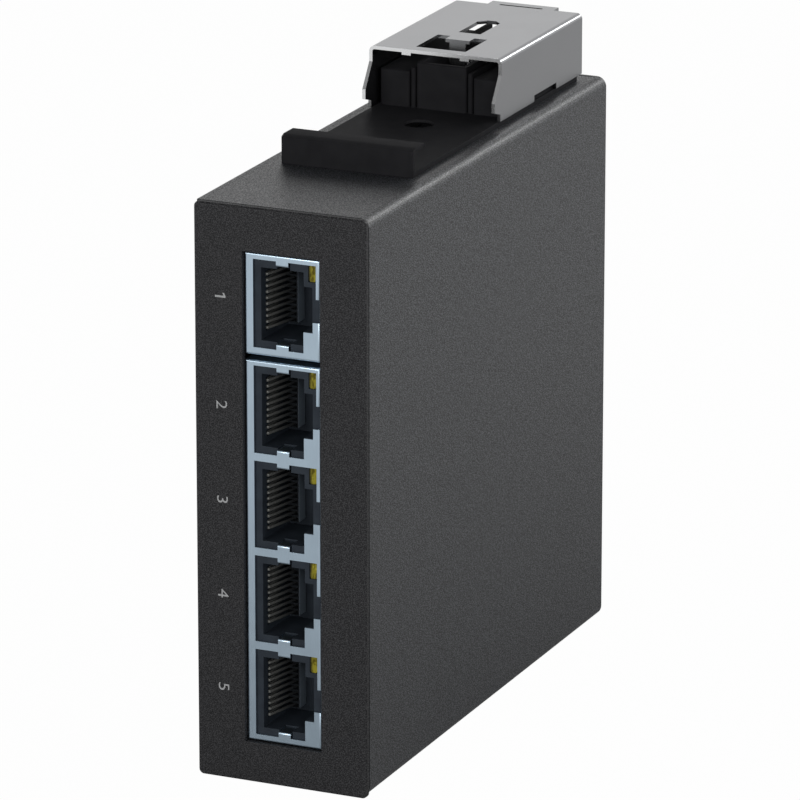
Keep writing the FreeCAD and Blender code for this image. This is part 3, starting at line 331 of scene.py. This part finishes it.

# %% [markdown]
# The link light in each socket is a clear amber pipe with the lamp behind it. Unlit, it
# looks olive yellow, with upright streaks, paler flecks that are painted light caught inside,
# and a dark rim on the left that is painted shade where it meets the insert. The flecks are a
# cellular noise, broken up by a softer one. The last finish in this cell is the ink of the
# figures.

# %% Link light lens and ink
shaded_rim_width = 0.7 * mm
fleck_size = 0.7 * mm
lens = Paint("amber_lens", Roughness=0.30, Specular_IOR_Level=0.25)
cells = lens.node("ShaderNodeTexVoronoi", None, {"Vector": lens.place, "Scale": 1 / fleck_size})
haze = lens.noise(0.9 * mm, detail=2.0)
# Painted light: paler flecks where light is caught inside the pipe.
fleck = 1 - cells.between(0.10, 0.42)
streak = lens.noise(0.5 * mm, detail=2.0, stretch=(1.0, 1.0, 0.4)).between(0.35, 0.60)
# Painted shade: a dark rim at the left edge of the lens, where it meets the insert.
inside = lens.along("X").between(light_left, light_left + shaded_rim_width)
amber = lens.mix(0.6 * streak + 0.4 * fleck * haze.between(0.35, 0.6), colour("5a5000"),
                 colour("b9af3a"))
lens.set("Base Color", lens.mix(inside, colour("1c1a02"), amber))
lens.bump(cells, 0.02 * mm)
materials["amber_lens"] = lens.material

ink = Paint("figure_ink", Specular_IOR_Level=0.3)
patch = ink.noise(0.15 * mm, detail=1.0)
ink.set("Base Color", ink.mix(patch.between(0.3, 0.7), colour("a9aaab"), colour("bebfc0")))
ink.set("Roughness", 0.5 + 0.1 * patch)
materials["figure_ink"] = ink.material
print("materials:", len(materials))

# %% [markdown]
# Every node of the CAD model gets one of these finishes. The imported record already says
# which slot a node belongs to, so the table goes from the slot to the finish. A new piece
# that stands for a node keeps the node's finish with its copied mesh, or has it set in its tree.

# %% Finish of each node
finish_of_slot = {
    "dark_coat": "tray_powder_coat",
    "panel_coat": "panel_powder_coat",
    "cover_coat": "tray_powder_coat",
    "zinc_screws": "zinc_screw",
    "black_screws": "blackened_screw",
    "shield_metal": "shield_sheet",
    "insert_plastic": "socket_moulding",
    "contact_metal": "plated_contact_wire",
    "comb_plastic": "comb_moulding",
    "light_lens": "amber_lens",
    "board_laminate": "board_laminate",
    "chip_plastic": "chip_package",
    "can_metal": "drawn_can",
    "choke_ferrite": "choke_ferrite",
    "terminal_plastic": "terminal_moulding",
    "pin_metal": "tinned_pin",
    "clip_plastic": "clip_moulding",
    "cover_steel": "rolled_cover_steel",
    "spring_steel": "spring_wire_steel",
}
for name, node in frame["nodes"].items():
    slot = node.data.materials[0].name.split(".")[0] if node.data.materials else ""
    node.data.materials.clear()
    node.data.materials.append(materials[finish_of_slot[slot]])

# %% [markdown]
# Real edges are never knife-sharp: a punched sheet has a worn burr, a moulding has a tiny
# radius, and both show as a thin bright line. A CAD mesh is loose triangles, so a copy is
# merged, its flat faces are joined again, and a Bevel modifier rounds the sharp edges.
# Weighted normals keep the flats flat. The copy stands for the node.

# %% Soft edges for the pieces that show
sharp = math.radians(32)
flat = math.radians(0.8)
same_point = 0.001 * mm


def soften(name, width, segments=2):
    source = frame["nodes"][name]
    piece = bpy.data.objects.new(name + "_edged", source.data.copy())
    scene.collection.objects.link(piece)
    mesh = bmesh.new()
    mesh.from_mesh(piece.data)
    bmesh.ops.remove_doubles(mesh, verts=mesh.verts, dist=same_point)
    bmesh.ops.dissolve_limit(mesh, angle_limit=flat, verts=mesh.verts, edges=mesh.edges)
    bmesh.ops.recalc_face_normals(mesh, faces=mesh.faces)
    mesh.to_mesh(piece.data)
    mesh.free()
    piece.data.shade_smooth()
    edge = piece.modifiers.new("edge", "BEVEL")
    edge.width = width
    edge.segments = segments
    edge.limit_method = "ANGLE"
    edge.angle_limit = sharp
    flats = piece.modifiers.new("flats", "WEIGHTED_NORMAL")
    flats.weight = 100
    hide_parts(name)
    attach(piece, source["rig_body"])
    return piece


edge_widths = {
    "main_shell": 0.12 * mm,
    "left_cover": 0.12 * mm,
    "front_panel": 0.10 * mm,
    "single_jack_shield": 0.09 * mm,
    "ganged_jack_shield": 0.09 * mm,
    "single_jack_housing": 0.08 * mm,
    "ganged_jack_housing": 0.08 * mm,
    "single_jack_light": 0.10 * mm,
    "ganged_jack_lights": 0.10 * mm,
    "clip_base": 0.12 * mm,
    "latch_cover": 0.14 * mm,
    "power_plug": 0.15 * mm,
    "power_header": 0.12 * mm,
}
edged = {name: soften(name, width) for name, width in edge_widths.items()}
print("edged:", sum(len(piece.data.polygons) for piece in edged.values()), "faces before bevels")

# %% [markdown]
# Geometry Nodes suit what repeats or follows a path. The class below writes such a tree in a
# few lines: its sizes are named inputs, a text stands for the input of that name, and a node
# gives back the socket that the next one takes. The tree ends in Realize Instances and Set
# Material, and its result becomes a plain mesh, because instances are lost in the export.

# %% A small builder for node trees
class Tree:
    """A Geometry Nodes tree with named inputs."""

    def __init__(self, name, **sizes):
        self.tree = bpy.data.node_groups.new(name, "GeometryNodeTree")
        self.face = self.tree.interface
        self.face.new_socket("Geometry", in_out="INPUT", socket_type="NodeSocketGeometry")
        self.face.new_socket("Geometry", in_out="OUTPUT", socket_type="NodeSocketGeometry")
        self.sizes = sizes
        self.keys = {}
        for key, value in sizes.items():
            kind = "NodeSocketInt" if isinstance(value, int) else "NodeSocketFloat"
            socket = self.face.new_socket(key, in_out="INPUT", socket_type=kind)
            self.keys[key] = socket.identifier
        self.inlet = self.tree.nodes.new("NodeGroupInput")
        self.outlet = self.tree.nodes.new("NodeGroupOutput")

    def node(self, kind, settings=None, inputs=None, output=0):
        made = self.tree.nodes.new(kind)
        for name, setting in (settings or {}).items():
            setattr(made, name, setting)
        for key, value in (inputs or {}).items():
            if isinstance(value, str):
                value = self.inlet.outputs[value]
            if isinstance(value, bpy.types.NodeSocket):
                self.tree.links.new(value, made.inputs[key])
            else:
                made.inputs[key].default_value = value
        return made.outputs[output]

    def finish(self, shape, material):
        real = self.node("GeometryNodeRealizeInstances", None, {"Geometry": shape})
        painted = self.node("GeometryNodeSetMaterial", None,
                            {"Geometry": real, "Material": material})
        self.tree.links.new(painted, self.outlet.inputs[0])

    def make(self, name, source, body, slot_name, *nodes):
        """The tree's result as a plain mesh that stands for some CAD nodes."""
        worker = source or bpy.data.objects.new("worker", bpy.data.meshes.new("worker"))
        scene.collection.objects.link(worker)
        modifier = worker.modifiers.new("tree", "NODES")
        modifier.node_group = self.tree
        for key, identifier in self.keys.items():
            modifier[identifier] = self.sizes[key]
        bpy.context.view_layer.update()
        graph = bpy.context.evaluated_depsgraph_get()
        result = bpy.data.meshes.new_from_object(worker.evaluated_get(graph))
        worker.modifiers.remove(modifier)
        bpy.data.objects.remove(worker)
        piece = bpy.data.objects.new(name, result)
        scene.collection.objects.link(piece)
        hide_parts(*nodes)
        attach(piece, body)
        return piece


def multiply(tree, first, second):
    return tree.node("ShaderNodeMath", {"operation": "MULTIPLY"}, {0: first, 1: second})


def vector(tree, x=0.0, y=0.0, z=0.0):
    return tree.node("ShaderNodeCombineXYZ", None, {0: x, 1: y, 2: z})


print("tree builder ready")

# %% [markdown]
# Ten sprung wires stand in each socket. Each starts at the wall, turns round in front and
# runs back to the comb. All are alike and stand at an even pitch, in five sockets, so one
# wire is enough: its path is filleted, given a section, and instanced along two lines.

# %% Contact wires
wire_count = 10
wire_pitch = 1.02 * mm
wire_sheet = 0.30 * mm
wire_width = 0.46 * mm
wire_bend = 0.14 * mm
wire_round = 0.07 * mm
top_low, top_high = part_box("single_jack_contacts")
row_low, row_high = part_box("ganged_jack_contacts")
port_pitch = 16.47 * mm
gang_ports = round((row_high.z - row_low.z - (top_high.z - top_low.z)) / port_pitch) + 1


def wire_path():
    """The middle line of one wire: along the wall, round the bend, back towards the comb."""
    half = wire_sheet / 2
    points = [
        (top_low.x + half, top_high.y),
        (top_low.x + half, top_low.y + half),
        (top_low.x + 3 * half, top_low.y + half),
        (top_high.x - half, comb_high.y - 2 * half),
    ]
    data = bpy.data.curves.new("wire_path", "CURVE")
    data.dimensions = "3D"
    line = data.splines.new("POLY")
    line.points.add(len(points) - 1)
    for point, (x, y) in zip(line.points, points):
        point.co = (x, y, 0.0, 1.0)
    return bpy.data.objects.new("wire_path", data)


def contact_wires(name, first, ports, node):
    tree = Tree("contact_row", wires=wire_count, ports=ports, pitch=wire_pitch,
                port_pitch=port_pitch, first=first, sheet=wire_sheet, width=wire_width)
    normal = tree.node("GeometryNodeSetCurveNormal", {"mode": "Z_UP"},
                       {"Curve": tree.inlet.outputs["Geometry"]})
    bent = tree.node("GeometryNodeFilletCurve", {"mode": "POLY"},
                     {"Curve": normal, "Count": 4, "Radius": wire_bend,
                      "Limit Radius": True})
    section = tree.node("GeometryNodeCurvePrimitiveQuadrilateral", {"mode": "RECTANGLE"},
                        {"Width": "sheet", "Height": "width"})
    rounded = tree.node("GeometryNodeFilletCurve", {"mode": "POLY"},
                        {"Curve": section, "Count": 2, "Radius": wire_round,
                         "Limit Radius": True})
    wire = tree.node("GeometryNodeCurveToMesh", None,
                     {"Curve": bent, "Profile Curve": rounded, "Fill Caps": True})
    row = tree.node("GeometryNodeMeshLine", {"mode": "OFFSET"},
                    {"Count": "wires", "Start Location": vector(tree, z="first"),
                     "Offset": vector(tree, z="pitch")})
    wires = tree.node("GeometryNodeInstanceOnPoints", None, {"Points": row, "Instance": wire})
    column = tree.node("GeometryNodeMeshLine", {"mode": "OFFSET"},
                       {"Count": "ports", "Offset": vector(tree, z="port_pitch")})
    rows = tree.node("GeometryNodeInstanceOnPoints", None, {"Points": column, "Instance": wires})
    tree.finish(rows, materials["plated_contact_wire"])
    return tree.make(name, wire_path(), "housing", "contact_metal", node)


top_wires = contact_wires("single_contact_wires", top_low.z + wire_width / 2, 1,
                          "single_jack_contacts")
row_wires = contact_wires("ganged_contact_wires", row_low.z + wire_width / 2, gang_ports,
                          "ganged_jack_contacts")
for piece in (top_wires, row_wires):
    corners = [Vector(corner) for corner in piece.bound_box]
    print(piece.name, len(piece.data.polygons), "faces",
          [round(min(corner[axis] for corner in corners) / mm, 2) for axis in range(3)],
          [round(max(corner[axis] for corner in corners) / mm, 2) for axis in range(3)])

# %% [markdown]
# A coil spring pushes the steel cover towards the rail. In the CAD model its wire is square
# and its turns are few, which keeps the mesh light. Here it is round wire with a closed turn
# at each end: a spiral whose rise is slow in the first and the last turn. When the cover
# slides back the real coil shortens, but this one keeps its length.

# %% Coil spring
spring_low, spring_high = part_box("latch_spring")
spring_wire = 0.5 * mm
spring_turns = 7
spring_radius = (spring_high.x - spring_low.x - spring_wire) / 2
spring_length = spring_high.y - spring_low.y - spring_wire


def coil_spring():
    tree = Tree("coil_spring", turns=float(spring_turns), radius=spring_radius,
                length=spring_length, wire=spring_wire)
    spiral = tree.node("GeometryNodeCurveSpiral", None,
                       {"Resolution": 32, "Rotations": "turns", "Start Radius": "radius",
                        "End Radius": "radius", "Height": 0.0})
    share = tree.node("GeometryNodeSplineParameter")
    end = 1 / spring_turns

    def ramp(low, high, rise):
        part = tree.node("ShaderNodeMapRange", None,
                         {"Value": share, "From Min": low, "From Max": high})
        return multiply(tree, part, rise)

    def add(first, second):
        return tree.node("ShaderNodeMath", {"operation": "ADD"}, {0: first, 1: second})

    open_length = spring_length - 2 * spring_wire
    rise = add(ramp(end, 1 - end, open_length),
               add(ramp(0.0, end, "wire"), ramp(1 - end, 1.0, "wire")))
    risen = tree.node("GeometryNodeSetPosition", None,
                      {"Geometry": spiral, "Offset": vector(tree, z=rise)})
    ring = tree.node("GeometryNodeCurvePrimitiveCircle", None,
                     {"Resolution": 12, "Radius": spring_wire / 2})
    coil = tree.node("GeometryNodeCurveToMesh", None,
                     {"Curve": risen, "Profile Curve": ring, "Fill Caps": True})
    middle = (spring_low + spring_high) / 2
    seated = tree.node("GeometryNodeTransform", None,
                       {"Geometry": coil,
                        "Translation": (middle.x, spring_low.y + spring_wire / 2, middle.z),
                        "Rotation": (math.radians(-90), 0.0, 0.0)})
    tree.finish(seated, materials["spring_wire_steel"])
    return tree.make("latch_coil", None, "housing", "spring_steel", "latch_spring")


coil = coil_spring()
coil.data.shade_smooth()
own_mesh(coil)
print("coil:", len(coil.data.polygons), "faces, radius", round(spring_radius / mm, 2), "mm")

# %% [markdown]
# A figure is printed beside each socket, turned a quarter so that it reads downwards. Text
# is a curve in Blender, so each figure becomes a mesh first, and then it is turned, moved to
# the panel and joined with the others. It stands a hair proud of the coat, as ink does. The
# typeface in Blender has a bare stroke for a 1, so that figure is drawn from its corners. The
# print sits a little above the middle of each socket, and the first figure higher still.

# %% Printed figures
figure_height = 2.05 * mm
height_share = 0.72  # how much of the type size a figure fills
figure_size = figure_height / height_share
figure_thinning = -0.004
figure_across = -10.72 * mm
figure_widening = 1.18
figure_rise = 0.38 * mm
ink_proud = 0.015 * mm
port_middles = [(top_low.z + top_high.z) / 2]
port_middles += [row_high.z - (top_high.z - top_low.z) / 2 - index * port_pitch
                 for index in range(gang_ports)]
figure_heights = [middle + figure_rise for middle in port_middles]
figure_heights[0] += figure_rise


def figure_one():
    """A 1 with a flag, which the built-in typeface leaves out."""
    corners = [(-0.05, -0.34), (0.05, -0.34), (0.05, 0.34), (-0.05, 0.34),
               (-0.05, 0.23), (-0.20, 0.13), (-0.20, 0.24)]
    made = bpy.data.meshes.new("figure_one")
    made.from_pydata([(x * figure_size, y * figure_size, 0.0) for x, y in corners], [],
                     [(0, 1, 2, 3, 4), (4, 3, 6, 5)])
    return made


def figure_mesh(text):
    if text == "1":
        return figure_one()
    data = bpy.data.curves.new("figure", "FONT")
    data.body = text
    data.align_x = "CENTER"
    data.align_y = "CENTER"
    data.size = figure_size
    data.offset = figure_thinning * figure_size
    worker = bpy.data.objects.new("figure", data)
    scene.collection.objects.link(worker)
    bpy.context.view_layer.update()
    graph = bpy.context.evaluated_depsgraph_get()
    made = bpy.data.meshes.new_from_object(worker.evaluated_get(graph))
    bpy.data.objects.remove(worker)
    return made


stand = Matrix.Rotation(math.radians(90), 4, "X")
quarter = Matrix.Rotation(math.radians(-90), 4, "Z")
widen = Matrix.Diagonal((figure_widening, 1.0, 1.0, 1.0))
figures = bmesh.new()
for index, height in enumerate(figure_heights):
    spot = Vector((figure_across, panel_front - ink_proud, height))
    shape = figure_mesh(str(index + 1))
    shape.transform(Matrix.Translation(spot) @ stand @ quarter @ widen)
    figures.from_mesh(shape)
figure_data = bpy.data.meshes.new("printed_figures")
figures.to_mesh(figure_data)
figures.free()
figure_data.materials.append(materials["figure_ink"])
printed = bpy.data.objects.new("printed_figures", figure_data)
scene.collection.objects.link(printed)
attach(printed, "housing")
print("figures at", [round(height / mm, 1) for height in figure_heights])

# %% [markdown]
# The photograph shows the object on plain white with no floor line. The floor here is a
# pale matt sheet that still takes the object's shadow, and for camera rays most of its colour
# is plain white. The world does the same above it. More light would not make a better white:
# it would only bleach the object. Mirror and glass rays see the world's white whole, and of
# the floor's a share that grows with the distance from the object, a painted shadow round the
# object in what mirrors see, so that its lower parts mirror less. The ceiling is dim, so that
# top faces stay dark beside the bright walls.

# %% Floor and world
floor_size = 6.0
floor_white = 0.985
floor_mirrored = 0.55
floor_shadow_fade = (-0.06, 0.36)


def background_share(tree, mirrored):
    """1 for camera rays, the given share for mirror and glass rays, 0 for all others."""
    path = tree.nodes.new("ShaderNodeLightPath")
    total = path.outputs["Is Camera Ray"]
    for name in ("Is Glossy Ray", "Is Transmission Ray"):
        weighed = tree.nodes.new("ShaderNodeMath")
        weighed.operation = "MULTIPLY"
        tree.links.new(mirrored, weighed.inputs[1])
        tree.links.new(path.outputs[name], weighed.inputs[0])
        joined = tree.nodes.new("ShaderNodeMath")
        joined.operation = "MAXIMUM"
        tree.links.new(total, joined.inputs[0])
        tree.links.new(weighed.outputs[0], joined.inputs[1])
        total = joined.outputs[0]
    return total


floor_data = bpy.data.meshes.new("floor")
half = floor_size / 2
floor_data.from_pydata([(-half, -half, 0), (half, -half, 0), (half, half, 0), (-half, half, 0)],
                       [], [(0, 1, 2, 3)])
floor = bpy.data.objects.new("floor", floor_data)
scene.collection.objects.link(floor)

floor_paint = Paint("pale_floor", Base_Color=colour("c0c0c0"), Roughness=0.9,
                    Specular_IOR_Level=0.1)
floor_data.materials.append(floor_paint.material)
floor_tree = floor_paint.tree
glow = floor_tree.nodes.new("ShaderNodeEmission")
glow.inputs["Color"].default_value = (1.0, 1.0, 1.0, 1.0)
both = floor_tree.nodes.new("ShaderNodeMixShader")
share = floor_tree.nodes.new("ShaderNodeMath")
share.operation = "MULTIPLY"
share.inputs[1].default_value = floor_white
# Painted shadow: mirror rays see less of the floor's white near the object.
distance = floor_paint.node("ShaderNodeVectorMath", {"operation": "LENGTH"},
                            {0: floor_paint.place}, output=1)
mirrored = distance.between(*floor_shadow_fade) * floor_mirrored
floor_tree.links.new(background_share(floor_tree, mirrored.socket), share.inputs[0])
floor_tree.links.new(share.outputs[0], both.inputs[0])
floor_tree.links.new(floor_paint.shader.outputs[0], both.inputs[1])
floor_tree.links.new(glow.outputs[0], both.inputs[2])
floor_tree.links.new(both.outputs[0], floor_tree.nodes["Material Output"].inputs[0])

world = bpy.data.worlds.new("studio")
scene.world = world
world.use_nodes = True
sky = world.node_tree
wall_light = 0.36
ceiling_share = 0.12
ceiling_starts = 0.36
ceiling_whole = 0.80
direction = sky.nodes.new("ShaderNodeTexCoord")
parts = sky.nodes.new("ShaderNodeSeparateXYZ")
sky.links.new(direction.outputs["Generated"], parts.inputs[0])
dim = sky.nodes.new("ShaderNodeMapRange")
dim.interpolation_type = "SMOOTHSTEP"
for name, value in {"From Min": ceiling_starts, "From Max": ceiling_whole, "To Min": 1.0,
                    "To Max": ceiling_share}.items():
    dim.inputs[name].default_value = value
sky.links.new(parts.outputs["Z"], dim.inputs["Value"])
soft = sky.nodes["Background"]
soft.inputs["Strength"].default_value = wall_light
sky.links.new(dim.outputs[0], soft.inputs["Color"])
white = sky.nodes.new("ShaderNodeBackground")
sky.links.new(dim.outputs[0], white.inputs["Color"])
white.inputs["Strength"].default_value = 1.0
choice = sky.nodes.new("ShaderNodeMixShader")
whole = sky.nodes.new("ShaderNodeValue")
whole.outputs[0].default_value = 1.0
sky.links.new(background_share(sky, whole.outputs[0]), choice.inputs[0])
sky.links.new(soft.outputs[0], choice.inputs[1])
sky.links.new(white.outputs[0], choice.inputs[2])
sky.links.new(choice.outputs[0], sky.nodes["World Output"].inputs[0])
print("floor and world ready")

# %% [markdown]
# Four soft lamps do the rest. A small one stands behind and to the right, just where the
# bend of the rail cover mirrors it, which draws the white line along that bend. A narrow
# strip on the right lets the broad side brighten towards the top. Two large lamps stand in
# front: the left one catches the rounded edges of the shields, and the right one reaches into
# the sockets on the side that the camera sees.

# %% Lamps
target = Vector((0.0, 0.0, 0.06))


def softbox(name, place, width, height, power):
    data = bpy.data.lights.new(name, "AREA")
    data.shape = "RECTANGLE"
    data.size = width
    data.size_y = height
    data.energy = power
    lamp = bpy.data.objects.new(name, data)
    lamp.location = place
    lamp.rotation_euler = (target - Vector(place)).to_track_quat("-Z", "Y").to_euler()
    lamp.visible_camera = False
    scene.collection.objects.link(lamp)


softbox("back_lamp", (0.31, 0.88, 0.47), 0.16, 0.16, 1.0)
softbox("side_strip", (0.14, 0.05, 0.20), 0.30, 0.05, 0.15)
softbox("left_front_lamp", (-0.35, -1.05, 0.45), 0.40, 0.40, 2.4)
softbox("right_front_lamp", (0.50, -1.00, 0.34), 0.40, 0.40, 3.2)
